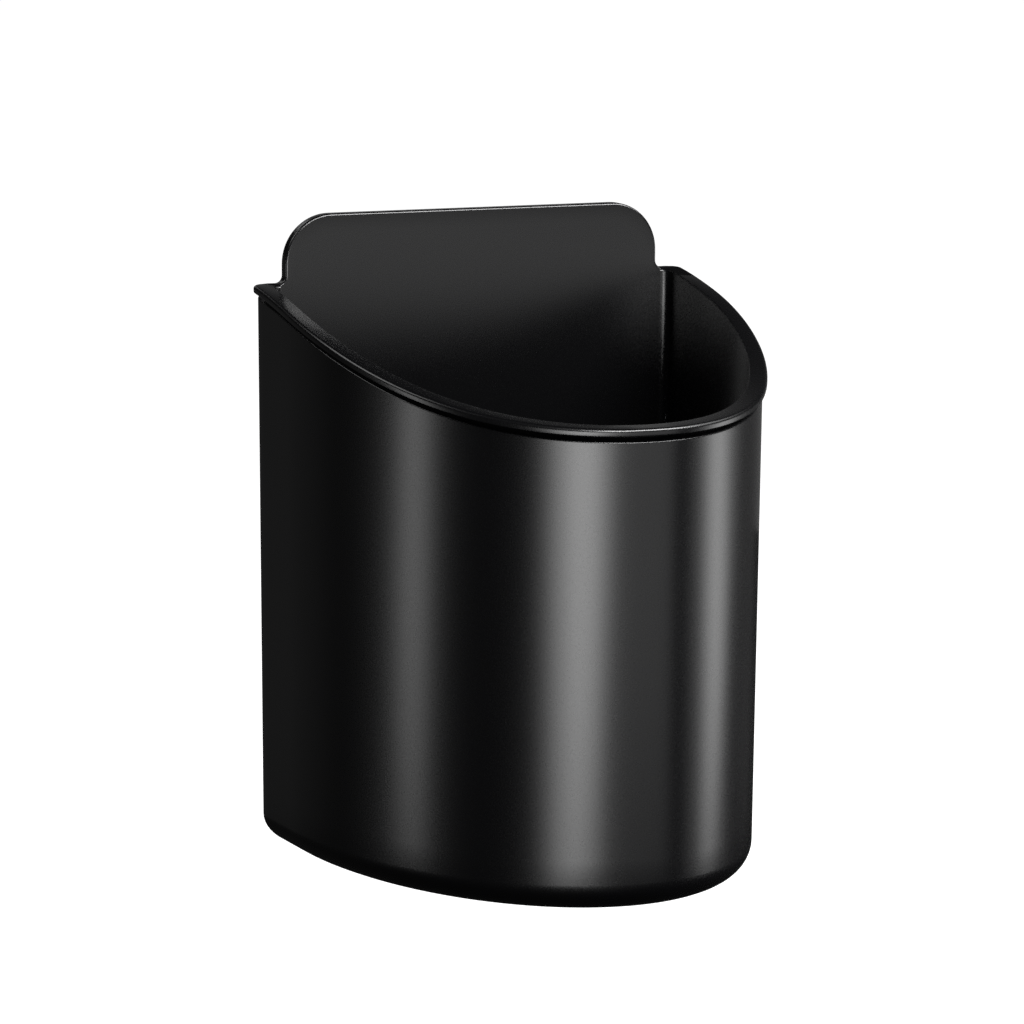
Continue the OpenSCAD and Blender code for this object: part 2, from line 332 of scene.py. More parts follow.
def patterned_finish(name, colour, roughness, plain, patterns, tint, bumps, rough=None):
    """A material from its patterns, laid in metres in the object's frame.

    plain holds the shader's other plain values. patterns gives each pattern its texture, the size of its
    cells in millimetres and its values. tint is the pattern that darkens the colour, and by how much. bumps
    are patterns and their depths in millimetres. rough is a pattern and the roughnesses that it runs between.
    """
    material = bpy.data.materials.new(name)
    material.use_nodes = True
    tree = material.node_tree
    tree.nodes.clear()
    shader = add_node(tree, "ShaderNodeBsdfPrincipled",
                      {"Base Color": tuple(colour), "Roughness": roughness, **plain})
    add_node(tree, "ShaderNodeOutputMaterial", {"Surface": shader.outputs["BSDF"]})
    at = add_node(tree, "ShaderNodeTexCoord").outputs["Object"]
    drawn = {}
    for label, (kind, size, values, *settings) in patterns.items():
        values = {"Vector": at, "Scale": 1 / (size * MM), **values}
        if "Stretch" in values:
            longer = add_node(tree, "ShaderNodeMapping", {"Vector": at, "Scale": values.pop("Stretch")})
            values["Vector"] = longer.outputs["Vector"]
        texture = add_node(tree, kind, values, **dict(*settings))
        drawn[label] = texture.outputs["Distance" if kind == CELLS else "Fac"]

    label, share = tint
    darker = tuple(c * (1 - share) for c in colour[:3]) + (1.0,)
    mix = add_node(tree, "ShaderNodeMix", {0: drawn[label], 6: tuple(colour), 7: darker}, data_type="RGBA")
    tree.links.new(mix.outputs[2], shader.inputs["Base Color"])
    if rough is not None:
        label, low, high = rough
        spread = add_node(tree, "ShaderNodeMapRange", {"Value": drawn[label], "To Min": low, "To Max": high})
        tree.links.new(spread.outputs["Result"], shader.inputs["Roughness"])
    below = {}
    for label, depth in bumps:
        bump = add_node(tree, "ShaderNodeBump",
                        {"Height": drawn[label], "Distance": depth * MM, "Strength": 1.0, **below})
        below = {"Normal": bump.outputs["Normal"]}
    tree.links.new(below["Normal"], shader.inputs["Normal"])
    return material


def moulded_abs():
    """ABS, injection-moulded in a polished mould: deep black, long soft highlights, a trace of flow."""
    # The polished mould's own grain is about 0.05 mm. It is drawn at 0.5 mm so that it shows at all.
    patterns = {"flow": (NOISE, 45, {"Detail": 3.0, "Stretch": (1.0, 1.0, 0.35)}),
                "grain": (NOISE, 0.5, {"Detail": 4.0})}
    return patterned_finish("moulded_abs_satin_black", colours().abs_black, 0.27, {"IOR": 1.53}, patterns,
                            ("flow", 0.35), [("flow", 0.02), ("grain", 0.0007)], ("grain", 0.25, 0.29))


def cast_silicone():
    """Silicone, compression-moulded: soft, dull and faintly dusty."""
    patterns = {"dust": (NOISE, 6, {"Detail": 5.0}), "grain": (NOISE, 0.35, {"Detail": 3.0})}
    return patterned_finish("moulded_silicone_dark_grey", colours().silicone, 0.62,
                            {"IOR": 1.41, "Sheen Weight": 0.15}, patterns, ("dust", 0.3), [("grain", 0.02)],
                            ("dust", 0.55, 0.7))


def powder_coat():
    """Polyester powder, baked on steel: black with an even orange-peel skin and a low gloss."""
    patterns = {"peel": (CELLS, 1.1, {"Smoothness": 0.8}, {"feature": "SMOOTH_F1"}),
                "speck": (NOISE, 0.25, {"Detail": 2.0})}
    return patterned_finish("powder_coated_steel_black", colours().powder, 0.42, {"IOR": 1.5}, patterns,
                            ("speck", 0.4), [("peel", 0.05), ("speck", 0.012)], ("speck", 0.36, 0.5))


def moulded_rubber():
    """Nitrile rubber, press-moulded: matt, nearly black, with a fine talc bloom."""
    patterns = {"bloom": (NOISE, 4, {"Detail": 5.0}), "grain": (NOISE, 0.3, {"Detail": 3.0})}
    return patterned_finish("moulded_rubber_black", colours().rubber, 0.78,
                            {"IOR": 1.52, "Sheen Weight": 0.1}, patterns, ("bloom", 0.35), [("grain", 0.03)],
                            ("bloom", 0.7, 0.85))


def die_cut_foam():
    """EVA foam, die-cut from sheet: matt grey with open cells."""
    # Real cells are about 0.2 mm. They are drawn at 0.6 mm so that they show.
    return patterned_finish("die_cut_foam_grey", colours().foam, 0.92, {"IOR": 1.45},
                            {"cells": (CELLS, 0.6, {})}, ("cells", 0.55), [("cells", 0.12)])


def metal(name, colour, low, high, size, stretch=(1.0, 1.0, 1.0), rings=None):
    """A bare or plated metal: marks of size millimetres, and turning rings where rings is their spacing."""
    patterns = {"marks": (NOISE, size, {"Detail": 4.0, "Stretch": stretch}),
                "cloud": (NOISE, 5, {"Detail": 3.0})}
    bumps = [("marks", 0.01)]
    if rings is not None:
        # At scale 1, one wave of the texture is about a third of a metre.
        patterns["rings"] = (WAVES, rings * 10 / math.pi,
                             {"Distortion": 0.4, "Detail": 1.0, "Detail Scale": 2.0},
                             {"wave_type": "RINGS", "rings_direction": "Z"})
        bumps.append(("rings", 0.008))
    return patterned_finish(name, colour, (low + high) / 2, {"Metallic": 1.0}, patterns, ("cloud", 0.18),
                            bumps, ("marks", low, high))


def zinc_plate():
    """Steel, zinc-plated and blue-passivated: cool, bright and slightly uneven."""
    return metal("zinc_plated_steel", colours().zinc, 0.2, 0.38, 0.5)


def rolled_zinc():
    """Steel, thread-rolled and zinc-plated: smooth flanks with faint marks along the thread."""
    return metal("rolled_zinc_plated_steel", colours().zinc, 0.22, 0.36, 0.8, (1.0, 1.0, 0.3))


def turned_brass():
    """Brass, turned on a lathe: warm yellow with fine rings."""
    return metal("turned_brass", colours().brass, 0.2, 0.34, 0.6, rings=0.3)


def spring_steel():
    """Carbon spring steel, stamped and oiled: dark grey with rolled marks."""
    return metal("stamped_spring_steel", colours().spring, 0.3, 0.46, 0.5, (0.25, 1.0, 1.0))


def turned_steel():
    """Mild steel, turned and nickel-plated: grey with fine rings."""
    return metal("turned_nickel_plated_steel", colours().steel, 0.22, 0.36, 0.6, rings=0.35)


def moulded_nylon():
    """Glass-filled nylon, moulded in a spark-eroded mould: dark, dull and finely pitted."""
    patterns = {"pits": (NOISE, 0.45, {"Detail": 3.0}), "fibre": (NOISE, 3, {"Detail": 4.0})}
    return patterned_finish("moulded_nylon_textured_black", colours().nylon, 0.5, {"IOR": 1.53}, patterns,
                            ("fibre", 0.3), [("pits", 0.035)], ("pits", 0.42, 0.58))


MADE_FINISHES = {}


def finish(maker):
    """The material of a maker, made once."""
    if maker.__name__ not in MADE_FINISHES:
        MADE_FINISHES[maker.__name__] = maker()
    return MADE_FINISHES[maker.__name__]


# ---------------------------------------------------------------- cup body

FLANK = 17                 # straight part of each flank
DEPTH = 88                 # flat back to nose at the reference height
HALF_WIDTH = 46.85
WALL = 2.7
FLOOR = 3
FOOT_ROUND = 5.5
INNER_ROUND = 3
CORNER = 1.8               # round of the two upright edges at the back
DRAFT = math.radians(0.6)
RIM_BACK = 114.2
RIM_NOSE = 94.2
BACK_EASE = 0.55
NOSE_EASE = 0.4
LIP_OUT = 0.9
LIP_T = 1.5
GROOVE_H = 1.2
GROOVE_DEPTH = 0.6
RAISED_HALF = 41.25        # half the width of the raised back
RAISED_CORNER = 10
RAISED_BLEND = 1.5
REFERENCE_Z = UNDER_Z + 100


def drafted(z):
    """Growth of the outline at a height, from the mould's draft."""
    return (z - REFERENCE_Z) * math.tan(DRAFT)


def rim_height(y):
    """Height of the rim above a place along the depth: an S-curve that is flat at both ends."""
    s = min(max((BACK_Y - y) / DEPTH, 0), 1)
    rise = BACK_EASE * s * (1 - s) ** 2 + s * s * (3 - 2 * s) - NOSE_EASE * s * s * (1 - s)
    return UNDER_Z + RIM_BACK + (RIM_NOSE - RIM_BACK) * rise


def raised_contour(arc_end):
    """Top edge of the flat back, from its right end to its left: (x, z, direction into the wall)."""
    rim = UNDER_Z + RIM_BACK
    top = BACK_TOP_Z
    foot = min(RAISED_HALF + RAISED_BLEND, arc_end - 0.1)
    half_top = RAISED_HALF - RAISED_CORNER
    right = [(foot + (arc_end - foot) * k / 3, rim, 0, -1) for k in (2, 1)]
    for k in range(9):
        angle = math.radians(270 - 90 * k / 8)
        x = RAISED_HALF + RAISED_BLEND * (1 + math.cos(angle))
        right.append((min(x, foot), rim + RAISED_BLEND * (1 + math.sin(angle)),
                      math.cos(angle), math.sin(angle)))
    side_top = top - RAISED_CORNER
    side_low = rim + RAISED_BLEND
    right += [(RAISED_HALF, side_low + (side_top - side_low) * k / 3, -1, 0) for k in (1, 2)]
    for k in range(19):
        angle = math.radians(90 * k / 18)
        right.append((half_top + RAISED_CORNER * math.cos(angle), side_top + RAISED_CORNER * math.sin(angle),
                      -math.cos(angle), -math.sin(angle)))
    across = [(half_top * (1 - k / 12), top, 0, -1) for k in range(1, 24)]
    left = [(-x, z, -u, w) for x, z, u, w in reversed(right)]
    return right + across + left


def body_loop(height, grow, back_in, drop, back_drop, follow):
    """One loop of the cup body's skin.

    height(x, y) is the loop's height away from the raised back, grow moves it outwards, and back_in moves
    its back forwards. drop and back_drop are how far it lies under the rim and under the raised back's edge.
    follow says how closely the flat back follows the raised back's edge: 0 not at all, 1 wholly.
    """
    half = HALF_WIDTH + grow
    back = BACK_Y - back_in
    # A loop far inside the floor has no flank left, so its nose starts at its back.
    nose_centre = min(BACK_Y - FLANK, back - CORNER - 0.5)
    depth = nose_centre - (BACK_Y - DEPTH) + grow
    arc_end = half - CORNER
    flat = []
    for k in range(121):
        angle = math.radians(180 + 1.5 * k)
        flat.append((half * math.cos(angle), nose_centre + depth * math.sin(angle), 0))
    flank = [nose_centre + (back - CORNER - nose_centre) * k / 6 for k in range(1, 6)]
    flat += [(half, y, 0) for y in flank]
    corner = [math.radians(90 * k / 8) for k in range(9)]
    flat += [(arc_end + CORNER * math.cos(a), back - CORNER + CORNER * math.sin(a), a / math.radians(90))
             for a in corner]
    loop = [(x, y, height(y) - drop * (1 - w) - back_drop * w) for x, y, w in flat]
    contour = raised_contour(arc_end)
    length = [0.0]
    points = [Vector((arc_end, 0))] + [Vector((x, z)) for x, z, _, _ in contour] + [Vector((-arc_end, 0))]
    points[0].y = points[1].y
    points[-1].y = points[-2].y
    for a, b in zip(points, points[1:]):
        length.append(length[-1] + (b - a).length)
    low = height(back) - back_drop
    for (x, z, u, w), run in zip(contour, length[1:]):
        even = arc_end * (1 - 2 * run / length[-1])
        high = Vector((x + u * back_drop, z + w * back_drop))
        place_xz = Vector((even, low)).lerp(high, follow)
        loop.append((place_xz.x, back, place_xz.y))
    left = [(-x, y, z) for x, y, z in reversed(loop[121:121 + 5 + 9])]
    return loop + left


def flat_height(z):
    """A height that is the same all round."""
    return lambda y: z


def body_loops():
    """Loops of the cup body from its underside, up its outside, over the rim and down inside."""
    lip_round = sizes().lip_edge
    inner_round = sizes().inner_edge
    back_round = sizes().back_edge
    loops = []

    def level(z, inset_by):
        loops.append(body_loop(flat_height(z), drafted(z) - inset_by, inset_by, 0, 0, 0))

    # Underside: a shallow recess inside a foot ring
    for z, inset_by in ((UNDER_Z + 0.6, 30), (UNDER_Z + 0.6, 15.2), (UNDER_Z + 0.55, 15.0),
                        (UNDER_Z + 0.3, 14.8), (UNDER_Z + 0.05, 14.6), (UNDER_Z, 14.4)):
        level(z, inset_by)
    for k in range(11):
        angle = math.radians(9 * k)
        level(UNDER_Z + FOOT_ROUND * (1 - math.cos(angle)), FOOT_ROUND * (1 - math.sin(angle)))

    # Outer wall, which turns from level loops to loops that follow the rim
    top_growth = drafted(UNDER_Z + RIM_NOSE)
    groove_low = LIP_T + GROOVE_H
    wall_steps = 18
    start = UNDER_Z + FOOT_ROUND
    for k in range(1, wall_steps + 1):
        share = k / wall_steps

        def height(y, share=share):
            return start + (rim_height(y) - groove_low - 0.3 - start) * share

        grow = drafted(start) + (top_growth - drafted(start)) * share
        loops.append(body_loop(height, grow, 0, 0, 2.1, share ** 2))

    # Groove, lip, rim and raised back: growth, depth from the back face, drops at the rim and the back
    bend = 0.22
    edges = []
    for k in range(5):
        angle = math.radians(22.5 * k)
        edges.append((top_growth - bend * (1 - math.cos(angle)), 0,
                      groove_low + bend * (1 - math.sin(angle)), 2.0 - 0.1 * k))
    # The groove's lower face slopes inwards, so that it turns away from the light and stays dark.
    deep = GROOVE_DEPTH + 0.3
    edges += [(-deep + 0.1, 0, LIP_T + 0.5, 1.5), (-deep, 0, LIP_T + 0.4, 1.4), (-deep, 0, LIP_T + 0.1, 1.3),
              (-deep + 0.03, 0, LIP_T + 0.03, 1.25), (-deep + 0.1, 0, LIP_T, 1.2),
              (LIP_OUT - 0.2, 0, LIP_T, 1.1)]
    for k in range(5):
        angle = math.radians(22.5 * k)
        edges.append((LIP_OUT - 0.2 * (1 - math.sin(angle)), 0, LIP_T - 0.2 * (1 - math.cos(angle)),
                      1.0 - 0.05 * k))
    for k in range(9):
        angle = math.radians(11.25 * k)
        edges.append((LIP_OUT - lip_round * (1 - math.cos(angle)), back_round * (1 - math.cos(angle)),
                      lip_round * (1 - math.sin(angle)), back_round * (1 - math.sin(angle))))
    inner = top_growth - WALL
    for k in range(9):
        angle = math.radians(11.25 * k)
        edges.append((inner + inner_round * (1 - math.sin(angle)), WALL - back_round * (1 - math.sin(angle)),
                      inner_round * (1 - math.cos(angle)), back_round * (1 - math.cos(angle))))
    for grow, back_in, drop, back_drop in edges:
        loops.append(body_loop(rim_height, grow, back_in, drop, back_drop, 1))

    # Inner wall, back to level loops, then the round at the floor
    floor_z = UNDER_Z + FLOOR
    end = floor_z + INNER_ROUND
    for k in range(wall_steps - 1, -1, -1):
        share = k / wall_steps

        def height(y, share=share):
            return end + (rim_height(y) - 1.5 - end) * share

        grow = drafted(end) + (top_growth - drafted(end)) * share - WALL
        loops.append(body_loop(height, grow, WALL, 0, 1.5, share ** 2))
    for k in range(9, -1, -1):
        angle = math.radians(9 * k)
        z = floor_z + INNER_ROUND * (1 - math.cos(angle))
        gap = WALL + INNER_ROUND * (1 - math.sin(angle))
        loops.append(body_loop(flat_height(z), drafted(z) - gap, gap, 0, 0, 0))
    for gap in (12, 22, 32):
        loops.append(body_loop(flat_height(floor_z), drafted(floor_z) - gap, gap, 0, 0, 0))
    return loops


class CUPHOLDER_OT_cup_body(bpy.types.Operator):
    """Cup body with its lip, shadow groove and raised back."""

    bl_idname = "cup_holder.cup_body"
    bl_label = "Cup body"

    def execute(self, context):
        bm = bmesh.new()
        capped(bm, body_loops())
        body = mesh_object("cup_body_moulding", bm, 50)
        holes = bmesh.new()
        along_screws(holes, drill(BODY_HOLE_R, -2, 6), BACK_Y - 4.5, 32)
        cut(body, mesh_object("screw_holes", holes), 50)
        place(body, "holder", "black_moulded_abs", moulded_abs, "cup_body")
        return {"FINISHED"}


class CUPHOLDER_OT_floor_mat(bpy.types.Operator):
    """Silicone mat with raised ribs on the cup body's floor."""

    bl_idname = "cup_holder.floor_mat"
    bl_label = "Floor mat"

    def execute(self, context):
        low, high = node_mm("floor_mat")
        rib = sizes().mat_rib
        base = high.z - rib
        first = WALL + 4
        outer = drafted(UNDER_Z) - first
        rows = [(30, low.z), (0.3, low.z), (0, low.z + 0.3), (0, high.z - 0.35), (0.1, high.z - 0.1),
                (0.35, high.z)]
        pitch = 4.0
        for k in range(7):
            at = 1.6 + k * pitch
            rows += [(at - 0.35, high.z), (at - 0.1, high.z - 0.12), (at, base), (at + pitch - 1.7, base),
                     (at + pitch - 1.6, high.z - 0.12), (at + pitch - 1.35, high.z)]
        bm = bmesh.new()
        capped(bm, [body_loop(flat_height(z), outer - gap, first + gap, 0, 0, 0) for gap, z in rows])
        mat = mesh_object("floor_mat_ribbed", bm, 40)
        place(mat, "holder", "dark_silicone", cast_silicone, "floor_mat")
        return {"FINISHED"}


# ---------------------------------------------------------------- clamp bracket and pads

STRAP_T = 3
PLAN_ROUND = 7             # round of the arms' ends seen from above
STRAP_BEND = 4.5           # radius of the strap's middle in its bends


def strap_stations():
    """Places along the middle of the strap: (y, z, outward y, outward z, half width, half thickness)."""
    half = STRAP_HIGH.x
    thick = STRAP_T / 2
    edge = sizes().strap_edge
    tip = STRAP_HIGH.y
    top = STRAP_HIGH.z - thick
    bottom = STRAP_LOW.z + thick
    front = STRAP_LOW.y + thick
    arm = []
    for k in range(25):
        angle = math.radians(90 - 3.75 * k)
        y = tip - PLAN_ROUND + PLAN_ROUND * math.sin(angle)
        rest = max(0.0, min(1.0, (y - (tip - edge)) / edge))
        arm.append((y, half - PLAN_ROUND + PLAN_ROUND * math.cos(angle),
                    thick - edge * (1 - math.sqrt(1 - rest * rest))))
    upper = [(y, top, 0, 1, w, t) for y, w, t in arm]
    upper += [(arm[-1][0] + (front + STRAP_BEND - arm[-1][0]) * k / 8, top, 0, 1, half, thick)
              for k in range(1, 8)]
    for k in range(13):
        angle = math.radians(90 + 7.5 * k)
        c, s = math.cos(angle), math.sin(angle)
        upper.append((front + STRAP_BEND * (1 + c), top - STRAP_BEND + STRAP_BEND * s, c, s, half, thick))
    middle = (top + bottom) / 2
    lower = [(y, 2 * middle - z, u, -w, half_w, t) for y, z, u, w, half_w, t in reversed(upper)]
    down = []
    for k in range(1, 10):
        z = top - STRAP_BEND + (bottom + STRAP_BEND - (top - STRAP_BEND)) * k / 10
        down.append((front, z, -1, 0, half, thick))
    return upper + down + lower


def strap_section(half_width, half_thickness, edge, steps=5):
    """Rounded rectangle across the strap: (across, outward)."""
    edge = min(edge, half_thickness * 0.9)
    corners = [(-half_width, -half_thickness, edge), (half_width, -half_thickness, edge),
               (half_width, half_thickness, edge), (-half_width, half_thickness, edge)]
    return rounded(corners, steps)


class CUPHOLDER_OT_clamp_bracket(bpy.types.Operator):
    """Steel strap bent to a C, with round edges and its holes."""

    bl_idname = "cup_holder.clamp_bracket"
    bl_label = "Clamp bracket"

    def execute(self, context):
        bm = bmesh.new()
        loops = []
        for y, z, out_y, out_z, half, thick in strap_stations():
            loops.append([(across, y + out_y * out, z + out_z * out)
                          for across, out in strap_section(half, thick, sizes().strap_edge)])
        capped(bm, loops)
        strap = mesh_object("clamp_bracket_strap", bm, 40)
        holes = bmesh.new()
        along_screws(holes, drill(NUT_R, -1, STRAP_T + 1), STRAP_LOW.y, 48)
        lathe(holes, drill(BUSH_BODY_R, STRAP_LOW.z - 1, STRAP_LOW.z + STRAP_T + 1), 64)
        cut(strap, mesh_object("strap_holes", holes), 40)
        place(strap, "holder", "black_powder_coat", powder_coat, "clamp_bracket")
        return {"FINISHED"}


class CUPHOLDER_OT_pads(bpy.types.Operator):
    """Grooved rubber pads and the foam strip."""

    bl_idname = "cup_holder.pads"
    bl_label = "Pads"

    def execute(self, context):
        groove = sizes().pad_groove
        low, high = node_mm("upper_jaw_pad")
        bm = bmesh.new()
        plate(bm, round_rectangle(low.x, low.y, high.x, high.y, 5), low.z, high.z, 0.4)
        jaw = mesh_object("upper_jaw_pad_rubber", bm)
        ribs = bmesh.new()
        y = low.y + 4
        while y < high.y - 3:
            outline = rounded([(y, low.z - 1, 0), (y + 1.6, low.z - 1, 0), (y + 1.3, low.z + groove, 0.3),
                               (y + 0.3, low.z + groove, 0.3)], 3)
            capped(ribs, [[(x, a, b) for a, b in outline] for x in (low.x + 3, high.x - 3)])
            y += 3.6
        cut(jaw, mesh_object("jaw_pad_grooves", ribs))
        place(jaw, "holder", "black_rubber", moulded_rubber, "upper_jaw_pad")

        low, high = node_mm("foot_pad")
        rings = [(0, low.z), (high.x - 0.4, low.z), (high.x, low.z + 0.4), (high.x, high.z - 0.5),
                 (high.x - 0.15, high.z - 0.15), (high.x - 0.5, high.z)]
        for outer in (11.2, 8.6, 6.0, 3.4):
            rings += [(outer, high.z), (outer - 0.25, high.z - groove), (outer - 1.0, high.z - groove),
                      (outer - 1.25, high.z)]
        foot = turned("foot_pad_rubber", rings + [(0, high.z)], 38)
        place(foot, "foot", "black_rubber", moulded_rubber, "foot_pad")

        low, high = node_mm("edge_pad")
        bm = bmesh.new()
        plate(bm, round_rectangle(low.x, low.z, high.x, high.z, 3), 0, high.y - low.y, 0.35)
        strip = mesh_object("edge_pad_foam", bm, turn=Matrix.Translation((0, high.y, 0)) @
                            Matrix.Rotation(math.pi / 2, 4, "X"))
        place(strip, "holder", "grey_foam", die_cut_foam, "edge_pad")
        return {"FINISHED"}


# ---------------------------------------------------------------- fasteners

def turned_at_screws(name, profile, low_y):
    """One turned shape, repeated at the four screws."""
    bm = bmesh.new()
    along_screws(bm, profile, low_y, 64)
    return mesh_object(name, bm, 35)


def recess_arms(low_y, mouth, depth, length, width, upright):
    """Cutter for one arm of the cross recess in each head, wider at its mouth."""
    bm = bmesh.new()
    for x, z in SCREWS:
        rows = []
        for y, shrink in ((low_y - mouth, 0), (low_y + depth, 0.12)):
            half_l = length / 2 - shrink
            half_w = width / 2 - shrink
            arm = [(-half_l, -half_w), (half_l, -half_w), (half_l, half_w), (-half_l, half_w)]
            if upright:
                arm = [(-b, a) for a, b in arm]
            rows.append([(x + a, y, z + b) for a, b in arm])
        capped(bm, rows)
    return mesh_object("recess_arms", bm)


class CUPHOLDER_OT_fasteners(bpy.types.Operator):
    """Pan-head screws, their washers and the clinch nuts."""

    bl_idname = "cup_holder.fasteners"
    bl_label = "Screws, washers and nuts"

    def execute(self, context):
        head_low = node_mm("body_screws")[0].y
        screw_end = node_mm("body_screws")[1].y - head_low
        washer_low, washer_high = node_mm("screw_washers")
        nut_low, nut_high = node_mm("clinch_nuts")
        head_h = washer_low.y - head_low
        dome = [(0, 0)]
        for k in range(1, 9):
            angle = math.radians(90 * k / 8)
            dome.append((2.4 + 1.6 * math.sin(angle), 1.1 * (1 - math.cos(angle))))
        screw = dome + [(4, head_h - 0.15), (3.85, head_h), (SCREW_R, head_h)]
        y = head_h + 0.2
        while y < screw_end - 1.0:
            screw += [(SCREW_R, y), (SCREW_CORE_R, y + 0.28), (SCREW_CORE_R, y + 0.36), (SCREW_R, y + 0.64)]
            y += SCREW_PITCH
        screw += [(1.7, screw_end - 0.3), (1.3, screw_end), (0, screw_end)]
        screws = turned_at_screws("body_screws_pan_head", screw, head_low)
        # The second arm differs a little, so that no two faces of the cut lie in one plane.
        cut(screws, recess_arms(head_low, 0.5, 1.2, 4.2, 0.95, False), 35)
        cut(screws, recess_arms(head_low, 0.6, 1.14, 4.17, 0.93, True), 35)
        place(screws, "holder", "zinc_screws", zinc_plate, "body_screws")

        t = washer_high.y - washer_low.y
        washer = [(WASHER_BORE_R, 0.1), (WASHER_BORE_R + 0.1, 0), (4.8, 0), (4.95, 0.06), (5, 0.2),
                  (5, t - 0.1), (4.9, t), (WASHER_BORE_R, t)]
        washers = turned_at_screws("screw_washers_plain", washer, washer_low.y)
        place(washers, "holder", "zinc_screws", zinc_plate, "screw_washers")

        t = nut_high.y - nut_low.y
        nut = [(SCREW_R, 0.35), (SCREW_R + 0.35, 0), (NUT_R - 0.15, 0), (NUT_R, 0.15), (NUT_R, t - 0.15),
               (NUT_R - 0.15, t), (SCREW_R + 0.35, t), (SCREW_R, t - 0.35)]
        nuts = turned_at_screws("clinch_nuts_steel", nut, nut_low.y)
        place(nuts, "holder", "zinc_screws", zinc_plate, "clinch_nuts")
        return {"FINISHED"}


class CUPHOLDER_OT_bush(bpy.types.Operator):
    """Flanged brass bush and the push washer that keeps it."""

    bl_idname = "cup_holder.bush"
    bl_label = "Thread bush"

    def execute(self, context):
        low, high = node_mm("thread_bush")
        flange = high.x
        under_flange = high.z - 3
        bore = SPINDLE_R + 0.05
        profile = rounded([(bore + 0.6, high.z, 0.1), (flange, high.z, 0.5), (flange, under_flange, 0.25),
                           (BUSH_BODY_R, under_flange, 0.1), (BUSH_BODY_R, low.z, 0.4),
                           (bore + 0.6, low.z, 0.1), (bore, low.z + 0.6, 0.1), (bore, high.z - 0.6, 0.1)], 4)
        bush = turned("thread_bush_brass", profile)
        place(bush, "holder", "turned_brass", turned_brass, "thread_bush")

        low, high = node_mm("bush_washer")
        # The inner edge is turned down into teeth that bite on the bush.
        profile = rounded([(BUSH_BODY_R, low.z + 0.35, 0.1), (7.1, low.z, 0.2), (9, low.z, 0.2),
                           (9, high.z, 0.2), (BUSH_BODY_R, high.z, 0.1)], 3)
        washer = turned("bush_washer_push_on", profile)
        notches = bmesh.new()
        for k in range(6):
            turn = Matrix.Rotation(math.radians(60 * k + 30), 4, "Z")
            corners = [(6.3, -0.35), (8.1, -0.35), (8.1, 0.35), (6.3, 0.35)]
            ends = (low.z - 1, high.z + 1)
            capped(notches, [[turn @ Vector((x, y, z)) for x, y in corners] for z in ends])
        cut(washer, mesh_object("washer_notches", notches), 32)
        place(washer, "holder", "spring_steel", spring_steel, "bush_washer")
        return {"FINISHED"}


# ---------------------------------------------------------------- screw, foot and knob

def thread_rows(low, high, crest, depth, pitch, around=40):
    """Loops of a right-hand thread between two heights; each loop runs once round and climbs one pitch."""
    shape = ((0.0, 0.0), (0.07, 0.0), (0.42, 1.0), (0.58, 1.0), (0.93, 0.0))
    run_out = 1.5 * pitch
    rows = []
    turns = int((high - low) / pitch) + 3
    for turn in range(-1, turns):
        for phase, cut_in in shape:
            row = []
            for k in range(around):
                z = low + (turn + phase + k / around - 1) * pitch
                near = min(1.0, max(0.0, min(z - low, high - z) / run_out))
                radius = crest - depth * (cut_in * near + (1 - near) * 0.6)
                angle = 2 * math.pi * k / around
                z = min(max(z, low), high)
                row.append((radius * math.cos(angle), radius * math.sin(angle), z))
            rows.append(row)
    return rows


class CUPHOLDER_OT_spindle(bpy.types.Operator):
    """Spindle with its rolled thread and grooved pin, and the clip."""

    bl_idname = "cup_holder.spindle"
    bl_label = "Spindle and clip"

    def execute(self, context):
        crest = SPINDLE_R
        shoulder = node_mm("pressure_foot")[0].z - 0.2
        hub_top = node_mm("knob_hub")[1].z
        bm = bmesh.new()
        clip_low, clip_high = node_mm("foot_clip")
        pin_top = SPINDLE_HIGH.z
        thread_low = hub_top + 0.3
        thread_high = shoulder - 1.2
        core = [(0, SPINDLE_LOW.z), (crest - 0.4, SPINDLE_LOW.z), (crest, SPINDLE_LOW.z + 0.4),
                (crest, thread_low - 0.2), (crest - 0.35, thread_low + 0.15),
                (crest - 0.35, thread_low + 0.2), (3.1, thread_low + 0.2), (3.1, thread_high - 0.2),
                (crest - 0.35, thread_high - 0.2),
                (crest - 0.3, thread_high), (crest, thread_high + 0.4), (crest, shoulder - 0.4),
                (crest - 0.4, shoulder), (PIN_R + 0.1, shoulder), (PIN_R, shoulder + 0.1),
                (PIN_R, clip_low.z), (2, clip_low.z), (2, clip_high.z), (PIN_R, clip_high.z),
                (PIN_R, pin_top - 0.5), (2.1, pin_top), (0, pin_top)]
        lathe(bm, core, 80)
        capped(bm, thread_rows(thread_low, thread_high, crest, sizes().thread_depth, sizes().thread_pitch))
        spindle = mesh_object("spindle_threaded", bm, 30)
        place(spindle, "screw", "zinc_spindle", rolled_zinc, "spindle")

        outline = []
        for k in range(49):
            angle = math.radians(90 + 37 + (360 - 74) * k / 48)
            outline.append((5 * math.cos(angle), 5 * math.sin(angle)))
        for k in range(25):
            angle = math.radians(90 - 40 - (360 - 80) * k / 24)
            outline.append((2.05 * math.cos(angle), 2.05 * math.sin(angle)))
        bm = bmesh.new()
        plate(bm, outline, clip_low.z, clip_high.z, 0.12, 2)
        clip = mesh_object("foot_clip_open", bm, 40)
        place(clip, "screw", "spring_steel", spring_steel, "foot_clip")
        return {"FINISHED"}


